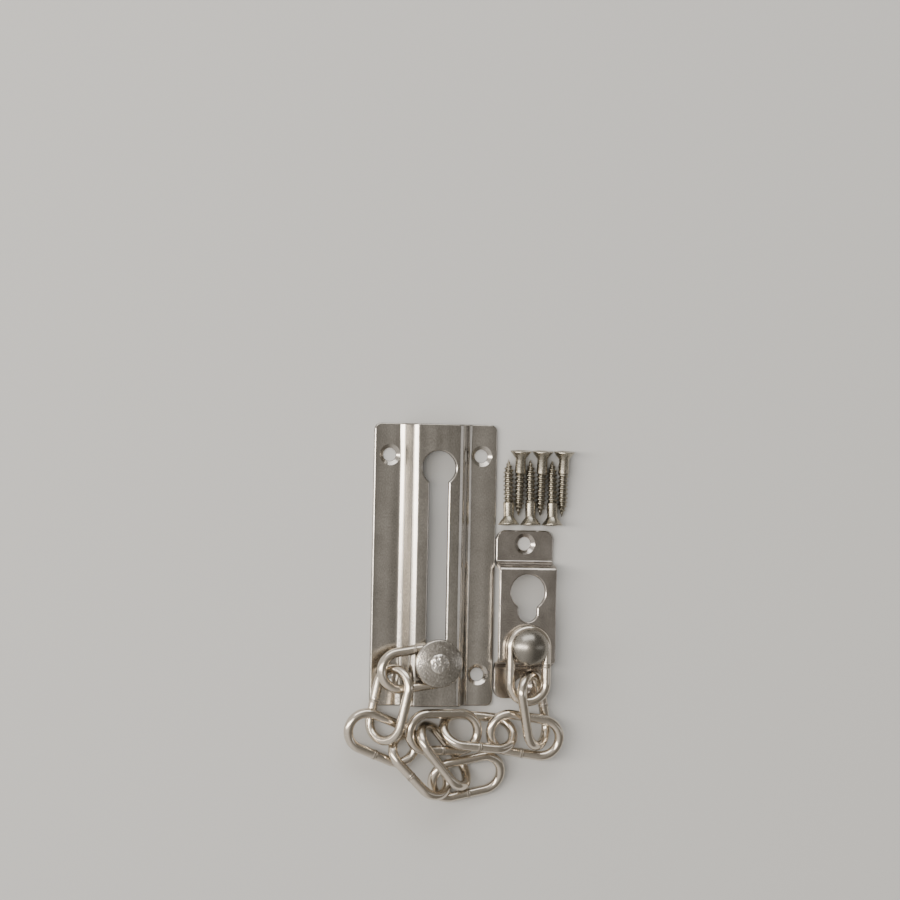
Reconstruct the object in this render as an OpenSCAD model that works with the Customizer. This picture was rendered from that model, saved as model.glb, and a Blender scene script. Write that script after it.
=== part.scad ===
// Door chain guard: a track plate with a sliding stud, a keeper plate and a welded link chain.
// Laid flat as it is packed: +X right, +Y up the track, +Z out of the plates, back faces on z = 0.
// The origin is the middle of the track plate's back face. All sizes are in millimetres.

/* [Track plate] */
// length of the track plate
track_len = 85; // [70:1:110]
// width of the track plate over both flanges
track_w = 38; // [32:1:48]
// height of the raised rail over the back face
track_raise = 6.2; // [5:0.1:9]
// width of the rail's flat top between its bends
rail_flat = 12.1; // [11.5:0.1:14]
// angle that the rail's sides bend through
rail_angle = 62; // [55:1:80]
// inside radius of the rail's bends
rail_bend_r = 1.2; // [0.4:0.1:2]
// clearance on either side of the stud's neck in the slot
slot_gap = 0.2; // [0.15:0.05:0.6]
// clearance all round the stud's inner head in the round entry at the slot's top
entry_gap = 0.4; // [0.2:0.05:0.7]
// radius of the blend between the round entry and the slot
entry_blend = 0.6; // [0.3:0.1:1.2]
// distance from either plate end to the end of the stud's travel
slot_inset = 13.25; // [10:0.25:20]
// radius of the track plate's corners
track_corner = 2; // [0.5:0.5:4]

/* [Keeper plate] */
// length of the keeper plate over both flanges
keeper_len = 51; // [50:1:60]
// width of the keeper plate
keeper_w = 17.8; // [14:0.1:24]
// height of the keeper's raised face over the back face
keeper_raise = 6.6; // [5:0.1:9]
// length of the raised flat face between its bends
keeper_flat = 26; // [24:0.5:32]
// angle that the keeper's ends bend through
keeper_angle = 75; // [45:1:80]
// inside radius of the keeper's bends
keeper_bend_r = 0.8; // [0.4:0.1:1.2]
// radius of the keeper plate's corners
keeper_corner = 3; // [0.5:0.5:5]
// clearance all round the stud's inner head in the round part of the keeper's keyhole
keyhole_gap = 0.55; // [0.2:0.05:0.8]
// clearance on either side of the stud's neck in the slot below the round part
keyhole_slot_gap = 0.1; // [0.1:0.05:0.4]
// radius of the blend between the round part and its slot
keyhole_blend = 1.4; // [0.5:0.1:2]
// distance from the round part's centre to the centre of the slot's end
keyhole_drop = 6.2; // [4:0.1:9]
// distance of the keyhole's round part from the middle of the face
keyhole_up = 7; // [5:0.1:9]
// distance of the rivet from the middle of the face
rivet_down = 9.65; // [8:0.05:11]
// free gap between the two plates where they lie side by side
plates_gap = 0.3; // [0.2:0.1:6]
// height of the rivet's centre over the stud's centre as they lie
rivet_above_stud = 4.9; // [2:0.1:10]

/* [Sheet and screw holes] */
// thickness of the plates' steel sheet
sheet_t = 1.2; // [0.8:0.1:1.6]
// diameter of the screw holes
hole_d = 4; // [3:0.1:5]
// diameter of the countersink at the face
sink_d = 6.4; // [5:0.1:8]
// depth of the countersink
sink_depth = 0.8; // [0.4:0.1:1]
// distance of the track's screw holes from its long edges
track_hole_side = 4.8; // [4:0.1:7]
// distance of the track's screw holes from its ends
track_hole_end = 9.5; // [5:0.5:20]
// distance of the keeper's screw holes from its ends
keeper_hole_end = 4.1; // [3.8:0.1:6]

/* [Stud and rivet] */
// diameter of the stud's neck, which runs in the slot
neck_d = 5.5; // [4.5:0.1:5.8]
// diameter of the stud's inner head, which runs under the rail
head_d = 9.4; // [8:0.1:10]
// thickness of the stud's inner head
head_t = 1.6; // [1:0.1:2]
// clearance between the inner head and the underside of the rail
head_gap = 0.4; // [0.2:0.1:0.8]
// diameter of the tenon that is riveted over the cap
tenon_d = 3.6; // [2.5:0.1:4.5]
// diameter of the stud's cap
cap_d = 14.5; // [12:0.5:18]
// thickness of the cap at its rim
cap_rim_t = 1.7; // [1:0.1:3]
// height that the cap's face rises to its middle
cap_rise = 0.7; // [0.3:0.1:1.5]
// diameter of the riveted over end of the stud
peen_d = 6; // [4:0.5:8]
// height of the riveted over end
peen_h = 0.8; // [0.4:0.1:1.5]
// diameter of the keeper rivet's domed head
dome_d = 11; // [10:0.5:14]
// height of the domed head over its rim
dome_h = 2.9; // [2:0.1:4]
// thickness of the domed head's rim
dome_rim_t = 0.6; // [0.3:0.1:1.2]
// diameter of the rivet's neck, which the end link hangs on
rivet_neck_d = 5.5; // [4.5:0.1:6.5]
// diameter of the rivet's shank through the sheet
rivet_shank_d = 4; // [3:0.1:5]
// diameter of the rivet's closed end behind the sheet
rivet_tail_d = 7; // [5.5:0.5:8]
// thickness of the rivet's closed end
rivet_tail_t = 1; // [0.6:0.1:1.6]
// clearance round shanks and tenons in their holes
shank_gap = 0.05; // [0.02:0.01:0.2]

/* [Chain] */
// diameter of the chain's wire
wire_d = 2.9; // [2.4:0.1:3]
// outside length of a link
link_len = 24.6; // [23:0.1:25]
// outside width of a link
link_w = 14; // [13.5:0.1:14.5]
// how far the weld stands out of the wire
weld_rise = 0.12; // [0.05:0.01:0.2]
// length of the weld along the wire
weld_len = 1.4; // [1:0.1:3]
// gap between the stud's end link and the track
stud_lay_gap = 0.25; // [0.1:0.05:0.4]
// gap between the rivet's end link and the keeper
rivet_lay_gap = 0.35; // [0.1:0.05:0.4]
// gap between an end link and the head that holds it
hold_gap = 0.3; // [0.2:0.05:0.6]

/* [Wood screws] */
// length of a screw over its head
screw_len = 20; // [16:1:24]
// diameter of the screw's head
screw_head_d = 6.4; // [5.5:0.1:7]
// height of the head's cone
screw_head_h = 2; // [1.5:0.1:2.6]
// thickness of the head's rim
screw_rim_t = 0.3; // [0.2:0.1:0.6]
// diameter over the thread
thread_d = 3.2; // [2.6:0.1:3.6]
// diameter of the thread's core
core_d = 2.3; // [1.8:0.1:2.6]
// distance between turns of the thread
thread_pitch = 1.3; // [1:0.1:1.8]
// number of turns of the thread
thread_turns = 9; // [6:1:11]
// length of the cross recess over the head
recess_len = 3.8; // [3:0.1:4.5]
// width of the cross recess
recess_w = 0.9; // [0.6:0.1:1.2]
// depth of the cross recess
recess_depth = 1.4; // [0.8:0.1:2]
// distance between screws that lie side by side with their heads the same way
screw_step = 6.8; // [6.6:0.1:9]
// gap between the keeper plate and the heads of the nearest screws
screw_clear = 1.6; // [0.5:0.1:6]
// distance from a screw's head to the point of the next one, which lies the other way
point_gap = 0.2; // [0.1:0.1:3]

/* [Hidden] */
$fn = 48;

nickel = "#a8a196";
nickel_bright = "#bdb7ab";
nickel_dull = "#8f897e";
zinc = "#b6b3ad";

// a cut runs this far past the face that it opens
cut_over = 1;
// flats that a bend is drawn with
bend_steps = 12;

// where the stud rests, where it can be lifted out, and the way between
stud_y = slot_inset - track_len / 2;
entry_y = track_len / 2 - slot_inset;
stud_travel = entry_y - stud_y;

// openings that the stud's neck runs in, and that its inner head goes through
slot_w = neck_d + 2 * slot_gap;
entry_d = head_d + 2 * entry_gap;
keyhole_slot_w = neck_d + 2 * keyhole_slot_gap;
keyhole_d = head_d + 2 * keyhole_gap;

// places of the screw holes from the middle of their plates
track_hole_x = track_w / 2 - track_hole_side;
track_hole_y = track_len / 2 - track_hole_end;
keeper_hole_y = keeper_len / 2 - keeper_hole_end;

// middle of the keeper's face and of its rivet
keeper_x = track_w / 2 + plates_gap + keeper_w / 2;
rivet_y = stud_y + rivet_above_stud;
keeper_y = rivet_y + rivet_down;

// levels of the end links and of the heads that hold them
stud_link_z = track_raise + stud_lay_gap + wire_d / 2;
cap_z = stud_link_z + wire_d / 2 + hold_gap;
rivet_link_z = keeper_raise + rivet_lay_gap + wire_d / 2;
dome_z = rivet_link_z + wire_d / 2 + hold_gap;

// middle radius of a link's ends and length of its straight sides
link_r = (link_w - wire_d) / 2;
link_straight = link_len - link_w;

// where the thread ends in the point, and how far a screw leans from its head to its point
thread_end = screw_len - thread_d / 2;
screw_lean = atan((screw_head_d - thread_d) / 2 / thread_end);

// How the links lie, as placed by eye: x, y, z of the middle, then heading, pitch and roll.
// Links 1 to 3 are placed from the rivet, links 4 to 11 from the stud where it rests.
// The places were set out for links of this wire, and grow with it, but the end links stay on theirs.
lay_wire_d = 2.9;
lay_scale = wire_d / lay_wire_d;
lay = [
    [0, -5.4 / lay_scale, rivet_link_z / lay_scale, 90, 0, 0],
    [2.3, -19, 7.4, 102, 8, 44],
    [0, -26.6, 5.8, -9, -1, 7],
    [13.6, -20.6, 6.1, -5, -1, -37],
    [2.6, -20.7, 7.4, 0, -7, 4],
    [3, -27.8, 6.5, 130, 3, 52],
    [10.8, -34.4, 3.5, 12, -2, 19],
    [-3.9, -30.9, 4.9, -46, 3, -34],
    [-15.8, -22.6, 5.2, -22, -4, 6],
    [-14.2, -12.6, 7, -101, -5, 45],
    [-6.1 / lay_scale, -1.5 / lay_scale, stud_link_z / lay_scale, -171, 0, 0],
];
rivet_links = 3;

// points round a bend, while the sheet's lean goes from one angle to another
function bend_points(middle, radius, from, to) = [
    for (step = [0:bend_steps])
        let (lean = from + (to - from) * step / bend_steps)
            middle + radius * [sin(lean), cos(lean)]
];

// one skin of half a raised profile: crest, side that leans by angle, root, and flange out to half_w
function half_skin(half_flat, raise, angle, half_w, inside_r, upper) =
    let (
        outside_r = inside_r + sheet_t,
        both_r = inside_r + outside_r,
        side = (raise - sheet_t - both_r * (1 - cos(angle))) / sin(angle),
        foot = half_flat + both_r * sin(angle) + side * cos(angle),
        crest_r = upper ? outside_r : inside_r,
        root_r = upper ? inside_r : outside_r
    )
    concat(
        bend_points([half_flat, raise - outside_r], crest_r, 0, angle),
        bend_points([foot, outside_r], -root_r, angle, 0),
        [[half_w, outside_r - root_r]]
    );

function backwards(points) = [for (i = [len(points) - 1:-1:0]) points[i]];

function mirrored(points) = [for (point = points) [-point[0], point[1]]];

// a raised profile bent in sheet, seen from its edge
module hat(flat, raise, angle, width, inside_r) {
    upper = half_skin(flat / 2, raise, angle, width / 2, inside_r, true);
    lower = half_skin(flat / 2, raise, angle, width / 2, inside_r, false);
    polygon(concat(mirrored(backwards(upper)), upper, backwards(lower), mirrored(lower)));
}

module rounded_rect(width, length, radius) {
    square([width - 2 * radius, length], center = true);
    square([width, length - 2 * radius], center = true);
    for (x = [-1, 1], y = [-1, 1])
        translate([x * (width / 2 - radius), y * (length / 2 - radius)])
            circle(r = radius);
}

// a screw hole through a flange, sunk from its face
module screw_hole() {
    translate([0, 0, -cut_over])
        cylinder(d = hole_d, h = sheet_t + 2 * cut_over);
    translate([0, 0, sheet_t - sink_depth])
        cylinder(d1 = hole_d, d2 = sink_d, h = sink_depth);
    translate([0, 0, sheet_t])
        cylinder(d = sink_d, h = cut_over);
}

// a round opening with a slot from its middle to a round end, cut through a raised face
module keyhole_cut(round_d, slot, length, raise, blend) {
    low = raise - sheet_t - cut_over;
    high = sheet_t + 2 * cut_over;
    // the blend's circle touches the round opening and the slot's side
    out = slot / 2 + blend;
    reach = round_d / 2 + blend;
    down = sqrt(reach * reach - out * out);
    touch = round_d / 2 / reach;
    translate([0, 0, low])
        linear_extrude(high) {
            circle(d = round_d);
            translate([-slot / 2, -length])
                square([slot, length]);
            translate([0, -length])
                circle(d = slot);
            for (side = [-1, 1])
                difference() {
                    polygon([
                        [0, 0],
                        [side * out * touch, -down * touch],
                        [side * out, -down],
                        [0, -down],
                    ]);
                    translate([side * out, -down])
                        circle(r = blend);
                }
        }
}

module track_plate() {
    color(nickel)
        difference() {
            intersection() {
                translate([0, track_len / 2, 0])
                    rotate([90, 0, 0])
                        linear_extrude(track_len)
                            hat(rail_flat, track_raise, rail_angle, track_w, rail_bend_r);
                linear_extrude(track_raise + cut_over)
                    rounded_rect(track_w, track_len, track_corner);
            }
            translate([0, entry_y, 0])
                keyhole_cut(entry_d, slot_w, stud_travel, track_raise, entry_blend);
            for (x = [-1, 1], y = [-1, 1])
                translate([x * track_hole_x, y * track_hole_y, 0])
                    screw_hole();
        }
}

module keeper_plate() {
    color(nickel)
        translate([keeper_x, keeper_y, 0])
            difference() {
                intersection() {
                    translate([-keeper_w / 2, 0, 0])
                        rotate([90, 0, 90])
                            linear_extrude(keeper_w)
                                hat(keeper_flat, keeper_raise, keeper_angle, keeper_len, keeper_bend_r);
                    linear_extrude(keeper_raise + cut_over)
                        rounded_rect(keeper_w, keeper_len, keeper_corner);
                }
                translate([0, keyhole_up, 0])
                    keyhole_cut(keyhole_d, keyhole_slot_w, keyhole_drop, keeper_raise, keyhole_blend);
                translate([0, -rivet_down, keeper_raise - sheet_t - cut_over])
                    cylinder(d = rivet_shank_d + 2 * shank_gap, h = sheet_t + 2 * cut_over);
                for (y = [-1, 1])
                    translate([0, y * keeper_hole_y, 0])
                        screw_hole();
            }
}

// a cap of a sphere, width across its flat and height over it
module dome(width, height) {
    ball_r = (width * width / 4 + height * height) / (2 * height);
    intersection() {
        translate([0, 0, height - ball_r])
            sphere(r = ball_r, $fn = 96);
        cylinder(d = width + cut_over, h = height + cut_over);
    }
}

// inner head, neck and riveted end in one turned piece
module slide_stud() {
    head_z = track_raise - sheet_t - head_gap - head_t;
    cap_h = cap_rim_t + cap_rise;
    color(nickel_dull)
        translate([0, stud_y, 0]) {
            translate([0, 0, head_z])
                cylinder(d = head_d, h = head_t);
            translate([0, 0, head_z])
                cylinder(d = neck_d, h = cap_z - head_z);
            translate([0, 0, head_z])
                cylinder(d = tenon_d, h = cap_z + cap_h - head_z);
            translate([0, 0, cap_z + cap_h])
                dome(peen_d, peen_h);
        }
}

// disc with a low crown, turned flat under the riveted end
module stud_cap() {
    cap_h = cap_rim_t + cap_rise;
    color(nickel_dull)
        translate([0, stud_y, cap_z])
            difference() {
                union() {
                    cylinder(d = cap_d, h = cap_rim_t);
                    translate([0, 0, cap_rim_t])
                        cylinder(d1 = cap_d, d2 = peen_d, h = cap_rise);
                }
                translate([0, 0, -cut_over])
                    cylinder(d = tenon_d + 2 * shank_gap, h = cap_h + 2 * cut_over);
            }
}

// domed head, neck for the end link, shank through the sheet and closed end behind it
module keeper_rivet() {
    tail_z = keeper_raise - sheet_t - rivet_tail_t;
    color(nickel_bright)
        translate([keeper_x, rivet_y, 0]) {
            translate([0, 0, tail_z])
                cylinder(d = rivet_tail_d, h = rivet_tail_t);
            translate([0, 0, tail_z])
                cylinder(d = rivet_shank_d, h = keeper_raise - tail_z);
            translate([0, 0, keeper_raise])
                cylinder(d = rivet_neck_d, h = dome_z - keeper_raise);
            translate([0, 0, dome_z])
                cylinder(d = dome_d, h = dome_rim_t);
            translate([0, 0, dome_z + dome_rim_t])
                dome(dome_d, dome_h);
        }
}

// one link along X: two straight sides, two round ends and the weld on one side
module link() {
    for (side = [-1, 1])
        translate([-link_straight / 2, side * link_r, 0])
            rotate([0, 90, 0])
                cylinder(d = wire_d, h = link_straight);
    for (end = [0, 180])
        rotate(end)
            translate([link_straight / 2, 0, 0])
                rotate(-90)
                    rotate_extrude(angle = 180)
                        translate([link_r, 0])
                            circle(d = wire_d);
    translate([-weld_len / 2, -link_r, 0])
        rotate([0, 90, 0])
            cylinder(d = wire_d + 2 * weld_rise, h = weld_len);
}

module chain_link(number) {
    pose = lay[number - 1];
    from_rivet = number <= rivet_links;
    color(nickel_bright)
        translate(from_rivet ? [keeper_x, rivet_y, 0] : [0, stud_y, 0])
            translate(lay_scale * [pose[0], pose[1], pose[2]])
                rotate([pose[5], -pose[4], pose[3]])
                    link();
}

// one screw along +Y with the middle of its head's face at the origin
module screw() {
    thread_y = thread_end - thread_turns * thread_pitch;
    difference() {
        rotate([-90, 0, 0])
            rotate_extrude()
                polygon(concat(
                    [
                        [0, 0],
                        [screw_head_d / 2, 0],
                        [screw_head_d / 2, screw_rim_t],
                        [thread_d / 2, screw_rim_t + screw_head_h],
                        [thread_d / 2, thread_y],
                    ],
                    [
                        for (turn = [0:thread_turns - 1], part = [0:1])
                            [
                                part == 0 ? core_d / 2 : thread_d / 2,
                                thread_y + (turn + (part == 0 ? 0.4 : 0.8)) * thread_pitch
                            ]
                    ],
                    [
                        [core_d / 2, thread_end],
                        [0, screw_len],
                    ]
                ));
        for (turn = [0, 90])
            rotate([0, turn, 0])
                translate([-recess_len / 2, -cut_over, -recess_w / 2])
                    cube([recess_len, recess_depth + cut_over, recess_w]);
    }
}

// a screw lying with its thread's last turn and its head's rim on the table, turned about the upright
module lying_screw(x, y, turn) {
    color(zinc)
        translate([x, y, screw_head_d / 2 * cos(screw_lean) + screw_rim_t * sin(screw_lean)])
            rotate([-screw_lean, 0, turn])
                screw();
}

// screws side by side, every second one the other way with its point between two heads
module wood_screw(number) {
    row_x = track_w / 2 + plates_gap + screw_head_d / 2;
    row_y = keeper_y + keeper_len / 2 + screw_clear;
    away = screw_rim_t + screw_head_h + point_gap + screw_len;
    turned = number % 2 == 0;
    lying_screw(row_x + (number - 1) * screw_step / 2, row_y + (turned ? away : 0), turned ? 180 : 0);
}

track_plate();
slide_stud();
stud_cap();
keeper_plate();
keeper_rivet();
chain_link(1);  // chain_link_01
chain_link(2);  // chain_link_02
chain_link(3);  // chain_link_03
chain_link(4);  // chain_link_04
chain_link(5);  // chain_link_05
chain_link(6);  // chain_link_06
chain_link(7);  // chain_link_07
chain_link(8);  // chain_link_08
chain_link(9);  // chain_link_09
chain_link(10);  // chain_link_10
chain_link(11);  // chain_link_11
wood_screw(1);  // wood_screw_1
wood_screw(2);  // wood_screw_2
wood_screw(3);  // wood_screw_3
wood_screw(4);  // wood_screw_4
wood_screw(5);  // wood_screw_5
wood_screw(6);  // wood_screw_6
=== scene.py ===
# Door chain guard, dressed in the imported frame: +X right, +Y up the track, +Z out of the plates.
# It lies on its back on z = 0 with its chain bunched below the plates and its screws beside them.
import math

import bmesh
import bpy
from mathutils import Matrix, Vector, noise


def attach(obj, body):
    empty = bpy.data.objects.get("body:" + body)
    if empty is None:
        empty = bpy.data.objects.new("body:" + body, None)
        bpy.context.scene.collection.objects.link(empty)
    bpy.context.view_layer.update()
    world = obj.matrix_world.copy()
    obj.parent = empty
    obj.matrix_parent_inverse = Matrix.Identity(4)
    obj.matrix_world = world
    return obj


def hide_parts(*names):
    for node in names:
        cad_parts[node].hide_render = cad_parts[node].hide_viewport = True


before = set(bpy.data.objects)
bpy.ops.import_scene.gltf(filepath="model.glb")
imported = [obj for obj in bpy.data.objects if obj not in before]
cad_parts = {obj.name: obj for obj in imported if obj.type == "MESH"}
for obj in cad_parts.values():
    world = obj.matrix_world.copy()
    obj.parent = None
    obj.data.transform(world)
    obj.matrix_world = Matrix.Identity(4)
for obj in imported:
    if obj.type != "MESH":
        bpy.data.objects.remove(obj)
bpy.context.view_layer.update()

# The view: a long lens looks straight down on the guard from a little to its left.
# The picture is square, and its middle lies above the track plate.
MM = 0.001
PICTURE_PX = 900
PX_PER_MM = 3.31
aim = Vector((4.55, 34.7, 0)) * MM
lens_away = 1.1
seen_from_left = math.radians(13.5)
leans_right = math.radians(1.2)

toward_lens = Vector((-math.sin(seen_from_left), 0, math.cos(seen_from_left)))
picture_up = Vector((-math.sin(leans_right), math.cos(leans_right), 0))
picture_right = picture_up.cross(toward_lens).normalized()
picture_up = toward_lens.cross(picture_right)
lens = bpy.data.cameras.new("lens")
lens.lens = lens.sensor_width * lens_away / (PICTURE_PX / PX_PER_MM * MM)
lens.clip_start = 0.01
camera = bpy.data.objects.new("camera", lens)
turn = Matrix((picture_right, picture_up, toward_lens)).transposed()
camera.matrix_world = Matrix.Translation(aim + toward_lens * lens_away) @ turn.to_4x4()
bpy.context.collection.objects.link(camera)
bpy.context.scene.camera = camera


# The studio: a table top of pale matt card, a tall soft box high on the left that draws the bright
# lines along the bends, a weak one on the right, and a ceiling that darkens from left to right.
def from_hex(code):
    """an sRGB hex colour as linear red, green, blue and alpha"""
    parts = [int(code[i:i + 2], 16) / 255 for i in (1, 3, 5)]
    return [p / 12.92 if p <= 0.04045 else ((p + 0.055) / 1.055) ** 2.4 for p in parts] + [1]


def add(tree, kind, inputs=None, **settings):
    """one node with its settings; an input takes a value or another node's output"""
    made = tree.nodes.new(kind)
    for name, value in settings.items():
        setattr(made, name, value)
    for name, value in (inputs or {}).items():
        if isinstance(value, bpy.types.NodeSocket):
            tree.links.new(value, made.inputs[name])
        else:
            made.inputs[name].default_value = value
    return made


TABLE_HALF = 1.6
TABLE_DROP = 0.00004
corners = [(x * TABLE_HALF, y * TABLE_HALF, -TABLE_DROP) for x, y in ((-1, -1), (1, -1), (1, 1), (-1, 1))]
table_mesh = bpy.data.meshes.new("table")
table_mesh.from_pydata(corners, [], [(0, 1, 2, 3)])
table = bpy.data.objects.new("table", table_mesh)
bpy.context.collection.objects.link(table)
card = bpy.data.materials.new("matt_card")
card.use_nodes = True
shader = card.node_tree.nodes["Principled BSDF"]
shader.inputs["Base Color"].default_value = from_hex("#c9c9c7")
shader.inputs["Roughness"].default_value = 0.85
table_mesh.materials.append(card)

SOFT_BOXES = [
    # name, place, width and height in metres, watts, colour
    ("left_box", (-1.05, 0.10, 1.15), 0.30, 1.60, 23.0, "#fff8f0"),
    ("low_left_box", (-1.45, 0.00, 0.62), 0.10, 1.50, 3.5, "#fff6ea"),
    ("right_box", (1.30, 0.00, 0.90), 0.25, 1.20, 0.8, "#f6f6fa"),
    ("far_box", (-0.15, 1.30, 0.90), 1.60, 0.70, 11.0, "#ffffff"),
]
for name, place, width, height, watts, colour in SOFT_BOXES:
    box_light = bpy.data.lights.new(name, "AREA")
    box_light.shape = "RECTANGLE"
    box_light.size = width
    box_light.size_y = height
    box_light.energy = watts
    box_light.color = from_hex(colour)[:3]
    lamp = bpy.data.objects.new(name, box_light)
    lamp.location = place
    lamp.rotation_euler = Vector(place).to_track_quat("Z", "Y").to_euler()
    bpy.context.collection.objects.link(lamp)
CEILING_SPREAD, CEILING_GLOW = 0.4, 1.4
CEILING_LEFT, CEILING_RIGHT = "#cfcbc6", "#6f6c67"
sky = bpy.data.worlds.new("graded_ceiling")
sky.use_nodes = True
tree = sky.node_tree
looking = add(tree, "ShaderNodeSeparateXYZ", {0: add(tree, "ShaderNodeTexCoord").outputs["Generated"]})
across = add(tree, "ShaderNodeMapRange", {
    "Value": looking.outputs["X"], "From Min": -CEILING_SPREAD, "From Max": CEILING_SPREAD})
grade = add(tree, "ShaderNodeValToRGB", {"Fac": across.outputs["Result"]})
grade.color_ramp.elements[0].color = from_hex(CEILING_LEFT)
grade.color_ramp.elements[1].color = from_hex(CEILING_RIGHT)
tree.links.new(grade.outputs["Color"], tree.nodes["Background"].inputs["Color"])
tree.nodes["Background"].inputs["Strength"].default_value = CEILING_GLOW
bpy.context.scene.world = sky


# Track plate: 1.2 mm steel strip, pressed to a raised rail between two flanges.
# The keyhole slot and the four countersunk screw holes are punched, and the whole is nickel plated.
# Sizes are in millimetres, and the steps are how finely a round is drawn.
SHEET = 1.2
# the die and the punch roll the upper edges over; the lower ones are only broken
EDGE_ROLL, PUNCH_ROLL, BROKEN_EDGE = 0.4, 0.55, 0.14
PUNCH_OVER, PUNCH_DEEP = 1, 3
BEND_STEPS, ROLL_STEPS, CORNER_STEPS, EDGE_STEPS = 10, 5, 8, 3
ROUND_STEPS, SLOT_END_STEPS, BLEND_STEPS = 40, 20, 6
EDGE_OVER, CRISP_OVER = math.radians(35), math.radians(32)
# how much of a face's normal points up: at most this on an upright side, at least this on a top
UPRIGHT, UPWARD = 0.05, 0.2
HOLE_D, SINK_D, SINK_DEPTH = 4.0, 6.4, 0.8
TRACK_LEN, TRACK_W, TRACK_RAISE = 85.0, 38.0, 6.2
RAIL_FLAT, RAIL_ANGLE, RAIL_BEND_R, RAIL_FOOT_R, TRACK_CORNER = 12.1, 62, 1.2, 2.2, 2.0
SLOT_W, ENTRY_D, ENTRY_BLEND, SLOT_INSET = 5.9, 10.2, 0.6, 13.25
TRACK_HOLE_X, TRACK_HOLE_Y = 14.2, 33.0
stud_y = SLOT_INSET - TRACK_LEN / 2
stud_travel = TRACK_LEN - 2 * SLOT_INSET


def sheet_skins(flat, raised, angle, bend_r, foot_r, width):
    """upper and lower skin of the bent strip seen from its edge, left edge to right edge, in mm;
    bend_r is the inside radius of the upper bends, foot_r that of the lower ones"""
    mid, foot = bend_r + SHEET / 2, foot_r + SHEET / 2
    full = math.radians(angle)
    side = (raised - SHEET - (mid + foot) * (1 - math.cos(full))) / math.sin(full)
    x, z = flat / 2, raised - SHEET / 2
    half = []
    for i in range(BEND_STEPS + 1):
        a = full * i / BEND_STEPS
        half.append((x + mid * math.sin(a), z - mid + mid * math.cos(a), a))
    x += (mid + foot) * math.sin(full) + side * math.cos(full)
    z = SHEET / 2 + foot
    for i in range(BEND_STEPS + 1):
        a = full * (1 - i / BEND_STEPS)
        half.append((x - foot * math.sin(a), z - foot * math.cos(a), a))
    half.append((width / 2, SHEET / 2, 0))
    skins = []
    for out in (SHEET / 2, -SHEET / 2):
        right = [(px + out * math.sin(a), pz + out * math.cos(a)) for px, pz, a in half]
        skins.append([(-px, pz) for px, pz in reversed(right)] + right)
    return skins


def plain(name, source):
    """the evaluated mesh of an object, as a new object with no modifiers; the source is removed"""
    bpy.context.view_layer.update()
    ready = source.evaluated_get(bpy.context.evaluated_depsgraph_get())
    mesh = bpy.data.meshes.new_from_object(ready)
    mesh.name = name
    bpy.data.objects.remove(source)
    made = bpy.data.objects.new(name, mesh)
    bpy.context.collection.objects.link(made)
    return made


def from_bmesh(name, bm):
    """a new object from a finished bmesh, which is freed"""
    mesh = bpy.data.meshes.new(name)
    bm.to_mesh(mesh)
    bm.free()
    made = bpy.data.objects.new(name, mesh)
    bpy.context.collection.objects.link(made)
    return made


def punch_of(bm, levels):
    """a closed punch from outlines of equal count, each at its own height"""
    rings = [[bm.verts.new(Vector((x, y, z)) * MM) for x, y in outline] for z, outline in levels]
    bm.faces.new(reversed(rings[0]))
    bm.faces.new(rings[-1])
    for low, high in zip(rings, rings[1:]):
        for i in range(len(low)):
            j = (i + 1) % len(low)
            bm.faces.new((low[i], low[j], high[j], high[i]))


def punch_through(bm, outline_grown, face):
    """a punch for an opening; its outline grows near the face, as the edge of the sheet rolls in"""
    levels = [(face - PUNCH_DEEP, outline_grown(0.0))]
    for i in range(ROLL_STEPS + 1):
        t = math.radians(90 * i / ROLL_STEPS)
        levels.append((face + PUNCH_ROLL * (math.sin(t) - 1), outline_grown(PUNCH_ROLL * (1 - math.cos(t)))))
    levels.append((face + PUNCH_OVER, outline_grown(PUNCH_ROLL)))
    punch_of(bm, levels)


def arc(x, y, radius, start, end, steps):
    """points on a circle from one angle to another, in degrees"""
    turns = [math.radians(start + (end - start) * i / steps) for i in range(steps + 1)]
    return [(x + radius * math.cos(t), y + radius * math.sin(t)) for t in turns]


def keyhole_outline(x, y, round_d, slot, drop, blend, grow):
    """a round opening, blended into a slot below it that ends in a half circle, grown all round"""
    r, h, blend = round_d / 2 + grow, slot / 2 + grow, blend - grow
    out = h + blend
    down = math.sqrt((r + blend) ** 2 - out ** 2)
    tilt = math.degrees(math.atan2(down, out))
    return (arc(x, y, r, -tilt, 180 + tilt, ROUND_STEPS)
            + arc(x - out, y - down, blend, tilt, 0, BLEND_STEPS)[1:]
            + arc(x, y - drop, h, -180, 0, SLOT_END_STEPS)
            + arc(x + out, y - down, blend, 180, 180 - tilt, BLEND_STEPS)[:-1])


def sunk_hole(bm, x, y):
    """a screw hole through a flange, sunk from its face"""
    hole, sink = (arc(x, y, across / 2, 0, 360, ROUND_STEPS)[:-1] for across in (HOLE_D, SINK_D))
    punch_of(bm, [(-PUNCH_OVER, hole), (SHEET - SINK_DEPTH, hole), (SHEET, sink), (SHEET + PUNCH_OVER, sink)])


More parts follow.
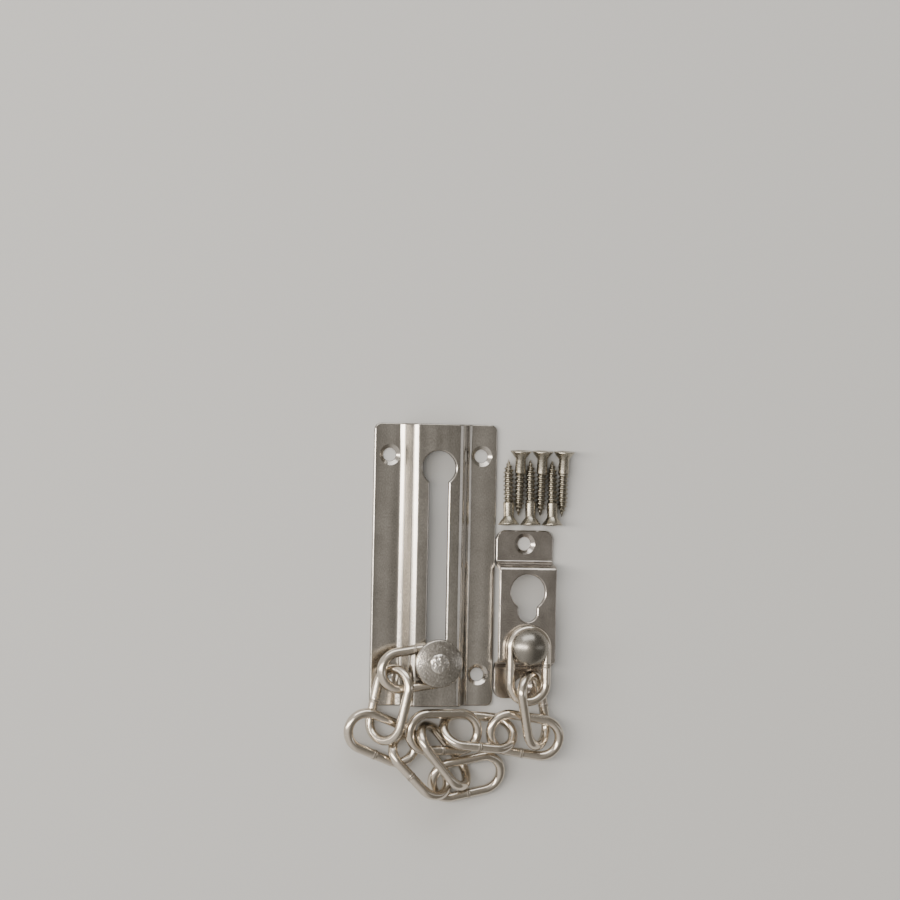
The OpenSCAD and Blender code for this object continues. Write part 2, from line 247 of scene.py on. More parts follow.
def pressed_plate(name, skins, length, corner, lay, cutters):
    """a bent strip of that length with rounded corners and its holes punched; lay puts it in the frame"""
    upper, lower = skins
    outline = upper + lower[::-1]
    bm = bmesh.new()
    ends = [[bm.verts.new(lay(px, end * length / 2, pz) * MM) for px, pz in outline] for end in (-1, 1)]
    bm.faces.new(ends[0])
    bm.faces.new(reversed(ends[1]))
    for i in range(len(outline)):
        j = (i + 1) % len(outline)
        bm.faces.new((ends[0][j], ends[0][i], ends[1][i], ends[1][j]))
    tips = [len(upper) - 1, len(outline) - 1]
    edges = [bm.edges.get((end[i], end[(i + 1) % len(outline)])) for end in ends for i in tips]
    bmesh.ops.bevel(
        bm, geom=edges, offset=corner * MM, segments=CORNER_STEPS, profile=0.5, affect="EDGES")
    bmesh.ops.recalc_face_normals(bm, faces=bm.faces)
    bm.normal_update()
    # the rim all the way round: edges between an upright face and one that looks up
    rolled = []
    for rim in bm.edges:
        leans = sorted(face.normal.z for face in rim.link_faces)
        if abs(leans[0]) < UPRIGHT and leans[-1] > UPWARD:
            rolled.append(rim)
    bmesh.ops.bevel(
        bm, geom=rolled, offset=EDGE_ROLL * MM, segments=ROLL_STEPS, profile=0.5, affect="EDGES")
    sheet = from_bmesh(name + "_sheet", bm)
    bmesh.ops.recalc_face_normals(cutters, faces=cutters.faces)
    punch = from_bmesh(name + "_punch", cutters)
    cut = sheet.modifiers.new("punch", "BOOLEAN")
    cut.operation = "DIFFERENCE"
    cut.solver = "EXACT"
    cut.object = punch
    edge = sheet.modifiers.new("edge", "BEVEL")
    edge.width = BROKEN_EDGE * MM
    edge.segments = EDGE_STEPS
    edge.limit_method = "ANGLE"
    edge.angle_limit = EDGE_OVER
    edge.use_clamp_overlap = False
    plate = plain(name, sheet)
    bpy.data.objects.remove(punch)
    plate.data.shade_smooth()
    # the rim of a sunk hole is a crisp edge, the rounded edges and bends are not
    plate.data.set_sharp_from_angle(angle=CRISP_OVER)
    even = plate.modifiers.new("even", "WEIGHTED_NORMAL")
    even.keep_sharp = True
    return plain(name, plate)


def nickel(name, colour, dark, rough, spread, grain_mm, grain_depth, wave_depth,
           stretch=(1, 1, 1), wave_stretch=(1, 1, 1), steep_shade=1.0):
    """nickel plate on steel: warm grey mirror, softened by the rolled or tumbled steel under it.
    The plating follows every scratch of the steel, so grain shows as fine streaks in tone and gloss.
    Steep sides get painted shade: their tone is darkened to the share that the last argument gives.
    Depths and the grain's size are in mm; stretch below 1 draws a pattern out along that axis."""
    # the plating's slow change of tone, and pressed sheet that is never quite flat, as mirrors show
    cloud_mm, wave_mm = 7, 11
    finish = bpy.data.materials.new(name)
    finish.use_nodes = True
    tree = finish.node_tree
    shader = tree.nodes["Principled BSDF"]
    shader.inputs["Metallic"].default_value = 1
    skin = add(tree, "ShaderNodeTexCoord")
    where = skin.outputs["Object"]
    grain_at = add(tree, "ShaderNodeMapping", {"Vector": where, "Scale": stretch})
    grain = add(tree, "ShaderNodeTexNoise", {
        "Vector": grain_at.outputs["Vector"], "Scale": 1 / (grain_mm * MM),
        "Detail": 3.0, "Roughness": 0.6})
    cloud = add(tree, "ShaderNodeTexNoise", {
        "Vector": where, "Scale": 1 / (cloud_mm * MM), "Detail": 3.0, "Roughness": 0.6})
    mottle = add(tree, "ShaderNodeMath", {
        0: grain.outputs["Fac"], 1: 1.3, 2: cloud.outputs["Fac"]}, operation="MULTIPLY_ADD")
    tone = add(tree, "ShaderNodeValToRGB", {
        "Fac": add(tree, "ShaderNodeMapRange", {
            "Value": mottle.outputs[0], "From Min": 0.7, "From Max": 1.6}).outputs["Result"]})
    tone.color_ramp.elements[0].color = from_hex(dark)
    tone.color_ramp.elements[1].color = from_hex(colour)
    # painted shade: faces steeper than about 40 degrees from flat get a darker tone, fully so at 60
    steep = add(tree, "ShaderNodeSeparateXYZ", {0: skin.outputs["Normal"]})
    steep_shade_share = add(tree, "ShaderNodeMapRange", {
        "Value": steep.outputs["Z"], "From Min": 0.5, "From Max": 0.75, "To Min": steep_shade, "To Max": 1.0})
    toned = add(tree, "ShaderNodeVectorMath", {
        0: tone.outputs["Color"], 1: steep_shade_share.outputs["Result"]}, operation="MULTIPLY")
    tree.links.new(toned.outputs["Vector"], shader.inputs["Base Color"])
    gloss = add(tree, "ShaderNodeMapRange", {
        "Value": grain.outputs["Fac"], "From Min": 0.3, "From Max": 0.7,
        "To Min": rough - spread, "To Max": rough + spread})
    tree.links.new(gloss.outputs["Result"], shader.inputs["Roughness"])
    wave_at = add(tree, "ShaderNodeMapping", {"Vector": where, "Scale": wave_stretch})
    wave = add(tree, "ShaderNodeTexNoise", {
        "Vector": wave_at.outputs["Vector"], "Scale": 1 / (wave_mm * MM), "Detail": 1.5})
    waved = add(tree, "ShaderNodeBump", {
        "Height": wave.outputs["Fac"], "Strength": 1.0, "Distance": wave_depth * MM})
    grained = add(tree, "ShaderNodeBump", {
        "Height": grain.outputs["Fac"], "Strength": 1.0, "Distance": grain_depth * MM,
        "Normal": waved.outputs["Normal"]})
    tree.links.new(grained.outputs["Normal"], shader.inputs["Normal"])
    return finish


# Satin nickel over cold rolled sheet: a soft mirror with bright lines along its bends, mottled by
# the rolling grain. That grain is about 0.1 mm wide and is drawn at 0.3 mm, so that it shows.
# Its steep sides, the rail's slopes, get painted shade: their tone is darkened to 0.66.
track_nickel = nickel(
    "satin_nickel_track", "#c8c3bb", "#a39e96", rough=0.17, spread=0.04, grain_mm=0.3, grain_depth=0.004,
    wave_depth=1.0, stretch=(1, 0.5, 1), wave_stretch=(1, 0.08, 1), steep_shade=0.66)
punches = bmesh.new()
punch_through(punches, lambda grow: keyhole_outline(
    0, stud_y + stud_travel, ENTRY_D, SLOT_W, stud_travel, ENTRY_BLEND, grow), TRACK_RAISE)
for sx in (-1, 1):
    for sy in (-1, 1):
        sunk_hole(punches, sx * TRACK_HOLE_X, sy * TRACK_HOLE_Y)
track_skins = sheet_skins(RAIL_FLAT, TRACK_RAISE, RAIL_ANGLE, RAIL_BEND_R, RAIL_FOOT_R, TRACK_W)
track = pressed_plate("track_plate_pressed", track_skins, TRACK_LEN, TRACK_CORNER,
                      lambda across, along, up: Vector((across, along, up)), punches)
track.data.materials.append(track_nickel)
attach(track, "track")
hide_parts("track_plate")


# Sliding stud: turned steel with an inner head under the rail and a neck in the slot.
# Its end is hammered over the cap, which leaves a rough bright boss in the cap's middle.
NECK_D, HEAD_D, HEAD_T, HEAD_GAP = 5.5, 9.4, 1.6, 0.4
WIRE_D, HOLD_GAP, STUD_LAY = 2.9, 0.3, 0.25
CAP_RIM_T, CAP_RISE = 1.7, 0.7
PEEN_D, PEEN_H, PEEN_STEPS = 6.0, 0.8, 14
STUD_TENON_R, STUD_EASE = 1.8, 0.25
# the hammer's marks: sets of dents, each as dents to the mm and depth in mm; then the share of that
# depth that is kept, and the share that the end spreads
DENTS = ((0.9, 0.45), (1.7, 0.4), (2.9, 0.25))
DENT_SHARE, PEEN_SPREAD = 0.6, 0.05
TURN_STEPS = 96
TURNED_CRISP = math.radians(40)
head_z = TRACK_RAISE - SHEET - HEAD_GAP - HEAD_T
cap_z = TRACK_RAISE + STUD_LAY + WIRE_D + HOLD_GAP
cap_top = cap_z + CAP_RIM_T + CAP_RISE


def eased(points, radius, steps=4):
    """a turned profile of (radius, height) with its inner corners rounded"""
    made = [points[0]]
    for before, here, after in zip(points, points[1:], points[2:]):
        here_v, to_b, to_a = Vector(here), Vector(before) - Vector(here), Vector(after) - Vector(here)
        reach = min(radius, to_b.length * 0.45, to_a.length * 0.45)
        start, end = here_v + to_b.normalized() * reach, here_v + to_a.normalized() * reach
        for i in range(steps + 1):
            t = i / steps
            made.append(tuple((1 - t) ** 2 * start + 2 * t * (1 - t) * here_v + t ** 2 * end))
    return made + [points[-1]]


def turned(name, profile, x, y, shift=None):
    """a lathe shape about an upright axis; shift moves a point that the hammer has marked"""
    bm = bmesh.new()
    rings = []
    for r, z in profile:
        if r < 1e-6:
            rings.append([bm.verts.new(Vector((x, y, z)) * MM)])
            continue
        ring = []
        for i in range(TURN_STEPS):
            a = 2 * math.pi * i / TURN_STEPS
            p = Vector((r * math.cos(a), r * math.sin(a), z))
            ring.append(bm.verts.new((Vector((x, y, 0)) + (shift(p) if shift else p)) * MM))
        rings.append(ring)
    for low, high in zip(rings, rings[1:]):
        for i in range(TURN_STEPS):
            j = (i + 1) % TURN_STEPS
            face = [low[i % len(low)], low[j % len(low)], high[j % len(high)], high[i % len(high)]]
            bm.faces.new(list(dict.fromkeys(face)))
    bmesh.ops.recalc_face_normals(bm, faces=bm.faces)
    made = from_bmesh(name, bm)
    made.data.shade_smooth()
    made.data.set_sharp_from_angle(angle=TURNED_CRISP)
    return made


def hammered(p):
    """the riveted end: flats and dents a few tenths of a mm deep where the hammer met it"""
    if p.z < cap_top - 0.05:
        return p
    rise = max(0.0, p.z - cap_top) / PEEN_H
    dent = sum(noise.noise(Vector((p.x * often, p.y * often, 3.1 + often))) * deep
               for often, deep in DENTS)
    low = min(0.0, dent) * DENT_SHARE * rise
    swell = 1 + PEEN_SPREAD * noise.noise(Vector((p.x * 0.7, p.y * 0.7, 1.3)))
    return Vector((p.x * swell, p.y * swell, p.z + low))


peen = [(PEEN_D / 2 * math.cos(t), cap_top + PEEN_H * math.sin(t))
        for t in [math.radians(90 * i / PEEN_STEPS) for i in range(PEEN_STEPS + 1)]]
peen[-1] = (0, peen[-1][1])
stud_profile = eased([
    (0, head_z), (HEAD_D / 2, head_z), (HEAD_D / 2, head_z + HEAD_T), (NECK_D / 2, head_z + HEAD_T),
    (NECK_D / 2, cap_z), (STUD_TENON_R, cap_z), (STUD_TENON_R, cap_top),
    (PEEN_D / 2, cap_top)], STUD_EASE) + peen[1:]
stud = turned("slide_stud_turned", stud_profile, 0, stud_y, hammered)
# Nickel over tumbled steel, beaten bright: small facets that flash, with a grain the same every way.
stud_nickel = nickel(
    "tumbled_nickel", "#efebe4", "#b5afa6", rough=0.17, spread=0.06, grain_mm=0.3, grain_depth=0.03,
    wave_depth=0.3)
stud.data.materials.append(stud_nickel)
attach(stud, "stud")
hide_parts("slide_stud")


# Stud cap: a steel disc with a low crown that keeps the end link on the stud.
# It is stamped, tumbled and nickel plated, and the stud's end is riveted over it.
CAP_D, TENON_R, CAP_EASE = 14.5, 1.85, 0.6
cap_profile = eased([
    (TENON_R, cap_z), (CAP_D / 2, cap_z), (CAP_D / 2, cap_z + CAP_RIM_T),
    (PEEN_D / 2, cap_top), (TENON_R, cap_top), (TENON_R, cap_z)], CAP_EASE)
cap = turned("stud_cap_stamped", cap_profile, 0, stud_y)
# Tumbling pits the steel, and the plating glitters from pit to pit. The pits are about 0.2 mm wide
# and are drawn at 0.6 mm, so that they show.
cap.data.materials.append(nickel(
    "tumbled_nickel_cap", "#d8d3ca", "#8e8880", rough=0.21, spread=0.07, grain_mm=0.6, grain_depth=0.06,
    wave_depth=0.15))
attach(cap, "stud")
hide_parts("stud_cap")


# Keeper plate: the same strip, pressed to a raised face between two end flanges.
# The keyhole takes the stud when the door is off its chain; one screw hole is sunk in each flange.
KEEPER_LEN, KEEPER_W, KEEPER_RAISE = 51.0, 17.8, 6.6
KEEPER_FLAT, KEEPER_ANGLE, KEEPER_BEND_R, KEEPER_CORNER = 26.0, 75, 0.8, 3.0
KEYHOLE_D, KEYHOLE_SLOT, KEYHOLE_BLEND, KEYHOLE_DROP, KEYHOLE_UP = 10.5, 5.7, 1.4, 6.2, 7.0
RIVET_DOWN, RIVET_OVER_STUD, PLATES_GAP = 9.65, 4.9, 0.3
KEEPER_HOLE_Y, RIVET_HOLE_R, RIVET_HOLE_STEPS = 21.4, 2.05, 32
keeper_x = TRACK_W / 2 + PLATES_GAP + KEEPER_W / 2
rivet_y = stud_y + RIVET_OVER_STUD
keeper_y = rivet_y + RIVET_DOWN
punches = bmesh.new()
punch_through(punches, lambda grow: keyhole_outline(
    keeper_x, keeper_y + KEYHOLE_UP, KEYHOLE_D, KEYHOLE_SLOT, KEYHOLE_DROP, KEYHOLE_BLEND, grow),
    KEEPER_RAISE)
punch_through(punches, lambda grow: arc(
    keeper_x, rivet_y, RIVET_HOLE_R + grow, 0, 360, RIVET_HOLE_STEPS)[:-1], KEEPER_RAISE)
for sy in (-1, 1):
    sunk_hole(punches, keeper_x, keeper_y + sy * KEEPER_HOLE_Y)
keeper_skins = sheet_skins(
    KEEPER_FLAT, KEEPER_RAISE, KEEPER_ANGLE, KEEPER_BEND_R, KEEPER_BEND_R, KEEPER_LEN)
keeper = pressed_plate("keeper_plate_pressed", keeper_skins, KEEPER_W, KEEPER_CORNER,
                       lambda across, along, up: Vector((keeper_x + along, keeper_y + across, up)), punches)
# The same satin nickel: its grain runs no way in particular, and it mirrors a little less.
keeper.data.materials.append(nickel(
    "satin_nickel_keeper", "#c7c1ba", "#979089", rough=0.19, spread=0.05, grain_mm=0.3, grain_depth=0.012,
    wave_depth=0.5))
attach(keeper, "keeper")
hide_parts("keeper_plate")


# Keeper rivet: turned steel with a polished dome, a neck that the end link hangs on,
# and a shank that is closed over behind the sheet.
DOME_D, DOME_H, DOME_RIM = 11.0, 2.9, 0.6
RIVET_NECK_D, RIVET_SHANK_D, RIVET_TAIL_D, RIVET_TAIL_T = 5.5, 4.0, 7.0, 1.0
RIVET_LAY, RIVET_EASE, DOME_STEPS = 0.35, 0.2, 20
dome_z = KEEPER_RAISE + RIVET_LAY + WIRE_D + HOLD_GAP
tail_z = KEEPER_RAISE - SHEET - RIVET_TAIL_T
ball_r = ((DOME_D / 2) ** 2 + DOME_H ** 2) / (2 * DOME_H)
open_angle = math.asin(DOME_D / 2 / ball_r)
ball_z = dome_z + DOME_RIM + DOME_H - ball_r
dome = [(ball_r * math.sin(a), ball_z + ball_r * math.cos(a))
        for a in [open_angle * (1 - i / DOME_STEPS) for i in range(DOME_STEPS + 1)]]
dome[-1] = (0, dome[-1][1])
rivet_profile = eased([
    (0, tail_z), (RIVET_TAIL_D / 2, tail_z), (RIVET_TAIL_D / 2, tail_z + RIVET_TAIL_T),
    (RIVET_SHANK_D / 2, tail_z + RIVET_TAIL_T), (RIVET_SHANK_D / 2, KEEPER_RAISE),
    (RIVET_NECK_D / 2, KEEPER_RAISE), (RIVET_NECK_D / 2, dome_z), (DOME_D / 2, dome_z),
    dome[0], dome[1]], RIVET_EASE) + dome[2:]
rivet = turned("keeper_rivet_turned", rivet_profile, keeper_x, rivet_y)
# Nickel over a polished dome: even, with soft bright patches where it mirrors the light.
rivet.data.materials.append(nickel(
    "polished_nickel", "#96928a", "#86827b", rough=0.28, spread=0.03, grain_mm=0.5, grain_depth=0.0006,
    wave_depth=0.05))
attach(rivet, "keeper")
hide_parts("keeper_rivet")


# Chain: eleven links of 2.9 mm steel wire, each bent round, butt welded in the middle of one side
# and nickel plated in a barrel. Link 1 hangs on the rivet and link 11 on the stud.
LINK_LEN, LINK_W, WELD_LEN, WELD_RISE = 24.6, 14.0, 1.4, 0.12
# the crease in the weld's middle: how deep beside the weld's rise, and how far along it
CREASE_DEEP, CREASE_REACH = 1.3, 0.3
# just under a half, so that the two rounds of an end never meet
END_ROUND = 0.4999
END_STEPS, LINK_STEPS, WIRE_STEPS = 40, 360, 24
WELD_DARK, WELD_ROUGH, WELD_SHOWS = "#6f675c", 0.45, 0.55
# how each link lies: x, y, z of its middle in mm, then heading, pitch and roll in degrees
LINK_LAY = [
    (0, -5.4, KEEPER_RAISE + RIVET_LAY + WIRE_D / 2, 90, 0, 0),
    (2.3, -19, 7.4, 102, 8, 44),
    (0, -26.6, 5.8, -9, -1, 7),
    (13.6, -20.6, 6.1, -5, -1, -37),
    (2.6, -20.7, 7.4, 0, -7, 4),
    (3, -27.8, 6.5, 130, 3, 52),
    (10.8, -34.4, 3.5, 12, -2, 19),
    (-3.9, -30.9, 4.9, -46, 3, -34),
    (-15.8, -22.6, 5.2, -22, -4, 6),
    (-14.2, -12.6, 7, -101, -5, 45),
    (-6.1, -1.5, TRACK_RAISE + STUD_LAY + WIRE_D / 2, -171, 0, 0),
]
RIVET_LINKS = 3


def tree_with(name, sockets):
    """an empty geometry tree with its named inputs; returns it and its input node"""
    tree = bpy.data.node_groups.new(name, "GeometryNodeTree")
    tree.interface.new_socket("Geometry", in_out="OUTPUT", socket_type="NodeSocketGeometry")
    tree.interface.new_socket("Geometry", in_out="INPUT", socket_type="NodeSocketGeometry")
    for label, kind in sockets:
        tree.interface.new_socket(label, in_out="INPUT", socket_type=kind)
    return tree, add(tree, "NodeGroupInput")


link_tree, given = tree_with("welded_link", [
    ("Wire", "NodeSocketFloat"), ("Length", "NodeSocketFloat"), ("Width", "NodeSocketFloat"),
    ("Weld length", "NodeSocketFloat"), ("Weld rise", "NodeSocketFloat"), ("Finish", "NodeSocketMaterial")])
long_way = add(link_tree, "ShaderNodeMath", {
    0: given.outputs["Length"], 1: given.outputs["Wire"]}, operation="SUBTRACT")
wide_way = add(link_tree, "ShaderNodeMath", {
    0: given.outputs["Width"], 1: given.outputs["Wire"]}, operation="SUBTRACT")
end_r = add(link_tree, "ShaderNodeMath", {0: wide_way.outputs[0], 1: END_ROUND}, operation="MULTIPLY")
frame_line = add(link_tree, "GeometryNodeCurvePrimitiveQuadrilateral", {
    "Width": long_way.outputs[0], "Height": wide_way.outputs[0]})
round_line = add(link_tree, "GeometryNodeFilletCurve", {
    "Curve": frame_line.outputs["Curve"], "Radius": end_r.outputs[0], "Count": END_STEPS}, mode="POLY")
even_line = add(link_tree, "GeometryNodeResampleCurve", {
    "Curve": round_line.outputs["Curve"], "Count": LINK_STEPS})
at = add(link_tree, "ShaderNodeSeparateXYZ", {0: add(link_tree, "GeometryNodeInputPosition").outputs[0]})
# the weld is a low swelling with a crease in its middle, on the side with negative y
along = add(link_tree, "ShaderNodeMath", {0: at.outputs["X"]}, operation="ABSOLUTE")
half_weld = add(link_tree, "ShaderNodeMath", {
    0: given.outputs["Weld length"], 1: 0.5}, operation="MULTIPLY")
reach = add(link_tree, "ShaderNodeMath", {
    0: along.outputs[0], 1: half_weld.outputs[0]}, operation="DIVIDE")
swell = add(link_tree, "ShaderNodeMapRange", {
    "Value": reach.outputs[0], "From Min": 0.0, "From Max": 1.0, "To Min": 1.0, "To Max": 0.0},
    interpolation_type="SMOOTHSTEP")
crease = add(link_tree, "ShaderNodeMapRange", {
    "Value": reach.outputs[0], "From Min": 0.0, "From Max": CREASE_REACH,
    "To Min": CREASE_DEEP, "To Max": 0.0}, interpolation_type="SMOOTHSTEP")
bead = add(link_tree, "ShaderNodeMath", {0: swell.outputs[0], 1: crease.outputs[0]}, operation="SUBTRACT")
welded_side = add(link_tree, "ShaderNodeMath", {0: at.outputs["Y"], 1: 0.0}, operation="LESS_THAN")
bead_here = add(link_tree, "ShaderNodeMath", {
    0: bead.outputs[0], 1: welded_side.outputs[0]}, operation="MULTIPLY")
burnt_here = add(link_tree, "ShaderNodeMath", {
    0: swell.outputs[0], 1: welded_side.outputs[0]}, operation="MULTIPLY")
wire_r = add(link_tree, "ShaderNodeMath", {0: given.outputs["Wire"], 1: 0.5}, operation="MULTIPLY")
rise_share = add(link_tree, "ShaderNodeMath", {
    0: given.outputs["Weld rise"], 1: wire_r.outputs[0]}, operation="DIVIDE")
thick = add(link_tree, "ShaderNodeMath", {
    0: bead_here.outputs[0], 1: rise_share.outputs[0], 2: 1.0}, operation="MULTIPLY_ADD")
marked = add(link_tree, "GeometryNodeStoreNamedAttribute", {
    "Geometry": even_line.outputs["Curve"], "Name": "weld", "Value": burnt_here.outputs[0]},
    data_type="FLOAT", domain="POINT")
thickened = add(link_tree, "GeometryNodeStoreNamedAttribute", {
    "Geometry": marked.outputs["Geometry"], "Name": "thick", "Value": thick.outputs[0]},
    data_type="FLOAT", domain="POINT")
wire_round = add(link_tree, "GeometryNodeCurvePrimitiveCircle", {
    "Resolution": WIRE_STEPS, "Radius": wire_r.outputs[0]})
thick_there = add(link_tree, "GeometryNodeInputNamedAttribute", {"Name": "thick"}, data_type="FLOAT")
swept = add(link_tree, "GeometryNodeCurveToMesh", {
    "Curve": thickened.outputs["Geometry"], "Profile Curve": wire_round.outputs["Curve"],
    "Scale": thick_there.outputs["Attribute"]})
smooth = add(link_tree, "GeometryNodeSetShadeSmooth", {"Geometry": swept.outputs["Mesh"]})
facing = add(link_tree, "GeometryNodeInputNamedAttribute", {"Name": "facing"}, data_type="FLOAT_VECTOR")
laid = add(link_tree, "GeometryNodeInstanceOnPoints", {
    "Points": given.outputs["Geometry"], "Instance": smooth.outputs["Geometry"],
    "Rotation": facing.outputs["Attribute"]})
whole = add(link_tree, "GeometryNodeRealizeInstances", {"Geometry": laid.outputs["Instances"]})
finished = add(link_tree, "GeometryNodeSetMaterial", {
    "Geometry": whole.outputs["Geometry"], "Material": given.outputs["Finish"]})
add(link_tree, "NodeGroupOutput", {"Geometry": finished.outputs["Geometry"]})


def points_with(name, rows):
    """loose points in mm with the way that each faces, for a tree to set pieces on"""
    mesh = bpy.data.meshes.new(name)
    mesh.from_pydata([Vector(place) * MM for place, _ in rows], [], [])
    facing_rows = mesh.attributes.new("facing", "FLOAT_VECTOR", "POINT")
    for i, (_, euler) in enumerate(rows):
        facing_rows.data[i].vector = euler
    made = bpy.data.objects.new(name, mesh)
    bpy.context.collection.objects.link(made)
    return made


def grown(name, points, tree, values):
    """the plain mesh that a tree makes on those points, its inputs set by their identifiers"""
    grow = points.modifiers.new("grow", "NODES")
    grow.node_group = tree
    for item in tree.interface.items_tree:
        if item.in_out == "INPUT" and item.name in values:
            grow[item.identifier] = values[item.name]
    return plain(name, points)


def marked_by(finish, attribute, share, changes):
    """lets an attribute of the mesh draw a mark into a finish: at 1, share of each change shows"""
    tree = finish.node_tree
    shader = tree.nodes["Principled BSDF"]
    mark = add(tree, "ShaderNodeAttribute", attribute_name=attribute)
    factor = add(tree, "ShaderNodeMath", {0: mark.outputs["Fac"], 1: share}, operation="MULTIPLY")
    for socket, value in changes.items():
        before = shader.inputs[socket].links[0].from_socket
        blended = add(tree, "ShaderNodeMix", data_type="RGBA" if socket == "Base Color" else "FLOAT")
        ins = [s for s in blended.inputs if s.enabled]
        tree.links.new(factor.outputs[0], ins[0])
        tree.links.new(before, ins[1])
        ins[2].default_value = value
        tree.links.new([s for s in blended.outputs if s.enabled][0], shader.inputs[socket])


# Nickel from the barrel over drawn wire: the brightest and smoothest of the set, a warm mirror.
# The weld stays darker and rougher under the plating.
wire_nickel = nickel(
    "barrel_nickel_wire", "#d9d0c3", "#c7beb0", rough=0.18, spread=0.03, grain_mm=0.5, grain_depth=0.0015,
    wave_depth=0.06)
marked_by(wire_nickel, "weld", WELD_SHOWS, {"Base Color": from_hex(WELD_DARK), "Roughness": WELD_ROUGH})
for number, (x, y, z, heading, pitch, roll) in enumerate(LINK_LAY, 1):
    base = (keeper_x, rivet_y) if number <= RIVET_LINKS else (0, stud_y)
    euler = [math.radians(a) for a in (roll, -pitch, heading)]
    spot = points_with(f"link_spot_{number:02d}", [((base[0] + x, base[1] + y, z), euler)])
    link = grown(f"welded_link_{number:02d}", spot, link_tree, {
        "Wire": WIRE_D * MM, "Length": LINK_LEN * MM, "Width": LINK_W * MM,
        "Weld length": WELD_LEN * MM, "Weld rise": WELD_RISE * MM, "Finish": wire_nickel})
    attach(link, f"link_{number:02d}")
    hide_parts(f"chain_link_{number:02d}")


# Wood screws: six countersunk screws of zinc plated steel, cold headed, with a cross recess and a
# rolled thread. They lie loose beside the plates, every second one the other way.
SCREW_LEN, SCREW_HEAD_D, SCREW_HEAD_H, SCREW_RIM_T = 20.0, 6.4, 2.0, 0.3
THREAD_D, CORE_D, THREAD_PITCH, THREAD_TURNS = 3.2, 2.3, 1.3, 9
# the crest's half width at its foot and the slope beside it, as shares of the pitch
CREST_FOOT, CREST_SLOPE = 0.30, 0.22
RUN_IN, POINT_TAPER, POINT_BARE = 0.5, 2.2, 0.25
RECESS_LEN, RECESS_W, RECESS_DEPTH = 3.8, 0.9, 1.4
# the recess narrows from its mouth, a little above the head, to its bottom: share of length and width
RECESS_MOUTH, RECESS_BOTTOM, RECESS_OVER = (1.05, 1.1), (0.55, 0.7), 0.4
SCREW_STEP, SCREW_CLEAR, POINT_GAP = 6.8, 1.6, 0.2
SCREW_STEPS, RING_STEP, LEAD_IN, TIP_CUT = 32, 0.11, 0.2, 0.02
SCREW_CRISP = math.radians(38)
ZINC_THIN_PLATE_AND_SHADE, GROOVE_PLATE_AND_SHADE_SHOWS = "#5d574b", 0.6
thread_end = SCREW_LEN - THREAD_D / 2
thread_start = thread_end - THREAD_TURNS * THREAD_PITCH


def thread_radius(y, turn_share):
    """radius of the threaded shank at a height and share of a turn; the crest winds up to the point"""
    phase = ((y - thread_start) / THREAD_PITCH - turn_share) % 1
    crest = max(0.0, min(1.0, (CREST_FOOT - abs(phase - 0.5)) / CREST_SLOPE))
    crest *= max(0.0, min(1.0, (y - thread_start) / RUN_IN))
    core = CORE_D / 2
    if y < thread_start + RUN_IN:
        core += (THREAD_D - CORE_D) / 2 * (1 - max(0.0, (y - thread_start) / RUN_IN))
    if y > thread_end - POINT_TAPER:
        core *= max(0.0, (SCREW_LEN - y) / (SCREW_LEN - thread_end + POINT_TAPER))
    tall = (THREAD_D - CORE_D) / 2 * min(1.0, max(0.0, (SCREW_LEN - POINT_BARE - y) / POINT_TAPER))
    return core + tall * crest, crest


def round_point(r, y, i):
    """a point round the screw's axis, which lies along y from the head"""
    a = 2 * math.pi * i / SCREW_STEPS
    return Vector((r * math.cos(a), y, r * math.sin(a))) * MM


# the head and the plain shank: height from the head's face, and radius
head_r, shank_r, shank_y = SCREW_HEAD_D / 2, THREAD_D / 2, SCREW_RIM_T + SCREW_HEAD_H
rows = [(0.0, 0.0), (0.0, head_r - 0.15), (0.05, head_r - 0.04), (0.12, head_r), (SCREW_RIM_T, head_r),
        (SCREW_RIM_T + 0.06, head_r - 0.05), (shank_y, shank_r), (shank_y + 0.4, shank_r - 0.05)]
bm = bmesh.new()
# how far down the thread's groove a point lies; it darkens the zinc there, as thinner plating and painted
# shade
depth = bm.verts.layers.float.new("groove_plate_and_shade")
rings = []
for y, r in rows:
    count = 1 if r == 0 else SCREW_STEPS
    rings.append([bm.verts.new(round_point(r, y, i)) for i in range(count)])
first_ring = thread_start - LEAD_IN
ring_count = int((SCREW_LEN - first_ring) / RING_STEP)
for k in range(ring_count):
    y = first_ring + (SCREW_LEN - TIP_CUT - first_ring) * k / (ring_count - 1)
    ring = []
    for i in range(SCREW_STEPS):
        r, crest = thread_radius(y, i / SCREW_STEPS)
        vert = bm.verts.new(round_point(r, y, i))
        vert[depth] = (1 - crest) if y > thread_start else 0.0
        ring.append(vert)
    rings.append(ring)
rings.append([bm.verts.new(Vector((0, SCREW_LEN, 0)) * MM)])
for low, high in zip(rings, rings[1:]):
    for i in range(SCREW_STEPS):
        j = (i + 1) % SCREW_STEPS
        face = [low[i % len(low)], low[j % len(low)], high[j % len(high)], high[i % len(high)]]
        bm.faces.new(list(dict.fromkeys(face)))
bmesh.ops.recalc_face_normals(bm, faces=bm.faces)
blank = from_bmesh("screw_blank", bm)
bm = bmesh.new()
for way in (0, 1):
    loops = []
    for (long_share, wide_share), y in ((RECESS_MOUTH, -RECESS_OVER), (RECESS_BOTTOM, RECESS_DEPTH)):
        far, wide = RECESS_LEN / 2 * long_share, RECESS_W / 2 * wide_share
        mouth = [(-far, -wide), (far, -wide), (far, wide), (-far, wide)]
        loops.append([
            bm.verts.new(Vector((px, y, pz) if way == 0 else (pz, y, px)) * MM) for px, pz in mouth])
    bm.faces.new(loops[0])
    bm.faces.new(loops[1])
    for i in range(4):
        bm.faces.new((loops[0][i], loops[0][(i + 1) % 4], loops[1][(i + 1) % 4], loops[1][i]))
bmesh.ops.recalc_face_normals(bm, faces=bm.faces)
cross = from_bmesh("screw_cross", bm)
cut = blank.modifiers.new("recess", "BOOLEAN")
cut.operation = "DIFFERENCE"
cut.solver = "EXACT"
cut.use_self = True
cut.object = cross
screw = plain("screw_pattern", blank)
bpy.data.objects.remove(cross)
screw.data.shade_smooth()
screw.data.set_sharp_from_angle(angle=SCREW_CRISP)

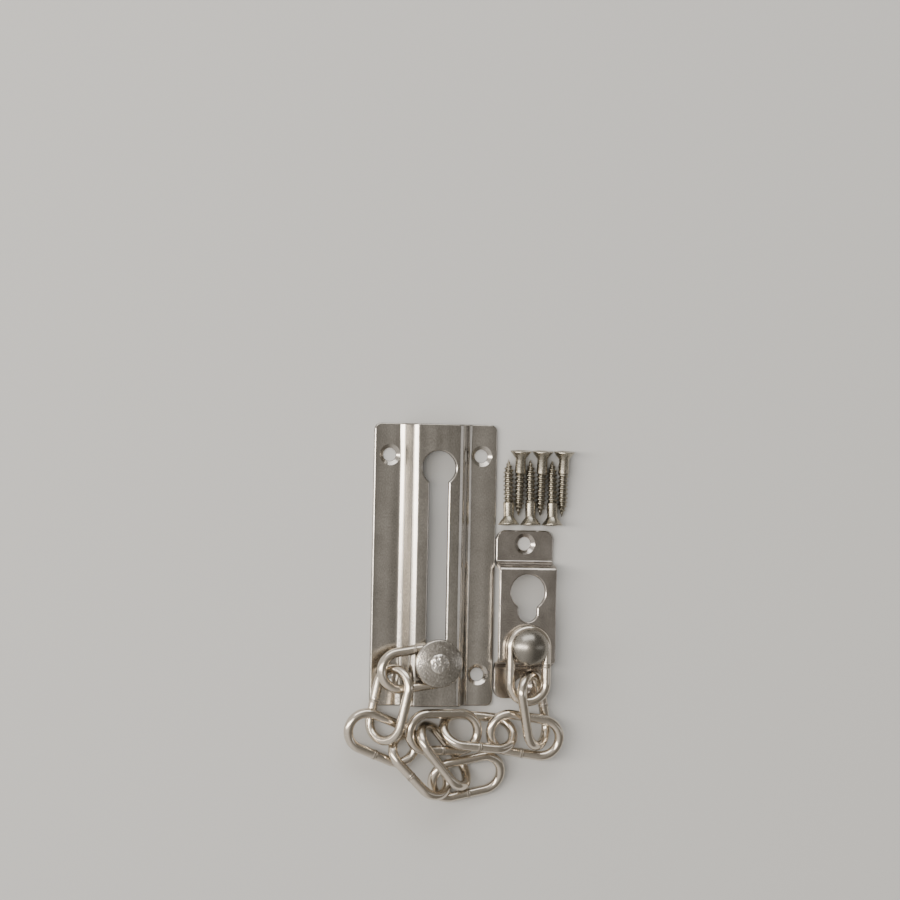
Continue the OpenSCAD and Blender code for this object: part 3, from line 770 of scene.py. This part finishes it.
screw_tree, given = tree_with("laid_screws", [
    ("Screw", "NodeSocketObject"), ("Finish", "NodeSocketMaterial")])
pattern = add(screw_tree, "GeometryNodeObjectInfo", {"Object": given.outputs["Screw"]})
facing = add(screw_tree, "GeometryNodeInputNamedAttribute", {"Name": "facing"}, data_type="FLOAT_VECTOR")
laid = add(screw_tree, "GeometryNodeInstanceOnPoints", {
    "Points": given.outputs["Geometry"], "Instance": pattern.outputs["Geometry"],
    "Rotation": facing.outputs["Attribute"]})
whole = add(screw_tree, "GeometryNodeRealizeInstances", {"Geometry": laid.outputs["Instances"]})
finished = add(screw_tree, "GeometryNodeSetMaterial", {
    "Geometry": whole.outputs["Geometry"], "Material": given.outputs["Finish"]})
add(screw_tree, "NodeGroupOutput", {"Geometry": finished.outputs["Geometry"]})

# Zinc plate: greyer and duller than nickel. The bottom of the thread is darker: partly thinner plating,
# partly painted shade where little light gets in.
zinc = nickel(
    "bright_zinc_plate", "#b9b3a6", "#8d8778", rough=0.27, spread=0.06, grain_mm=0.4, grain_depth=0.008,
    wave_depth=0.35)
marked_by(zinc, "groove_plate_and_shade", GROOVE_PLATE_AND_SHADE_SHOWS, {"Base Color": from_hex(ZINC_THIN_PLATE_AND_SHADE)})

row_x = TRACK_W / 2 + PLATES_GAP + SCREW_HEAD_D / 2
row_y = keeper_y + KEEPER_LEN / 2 + SCREW_CLEAR
away = SCREW_RIM_T + SCREW_HEAD_H + POINT_GAP + SCREW_LEN
lean = math.atan((SCREW_HEAD_D - THREAD_D) / 2 / thread_end)
head_up = SCREW_HEAD_D / 2 * math.cos(lean) + SCREW_RIM_T * math.sin(lean)
SPINS = [10, 75, 200, 140, 30, 260]
spots = []
for number, spin in enumerate(SPINS):
    other_way = number % 2 == 1
    way = (Matrix.Rotation(math.pi if other_way else 0, 3, "Z") @ Matrix.Rotation(-lean, 3, "X")
           @ Matrix.Rotation(math.radians(spin), 3, "Y"))
    place = (row_x + number * SCREW_STEP / 2, row_y + (away if other_way else 0), head_up)
    spots.append((place, way.to_euler()))
screws = grown("wood_screws_rolled", points_with("screw_spots", spots), screw_tree, {
    "Screw": screw, "Finish": zinc})
bpy.data.objects.remove(screw)
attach(screws, "screws")
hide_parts(*[f"wood_screw_{number}" for number in range(1, 7)])
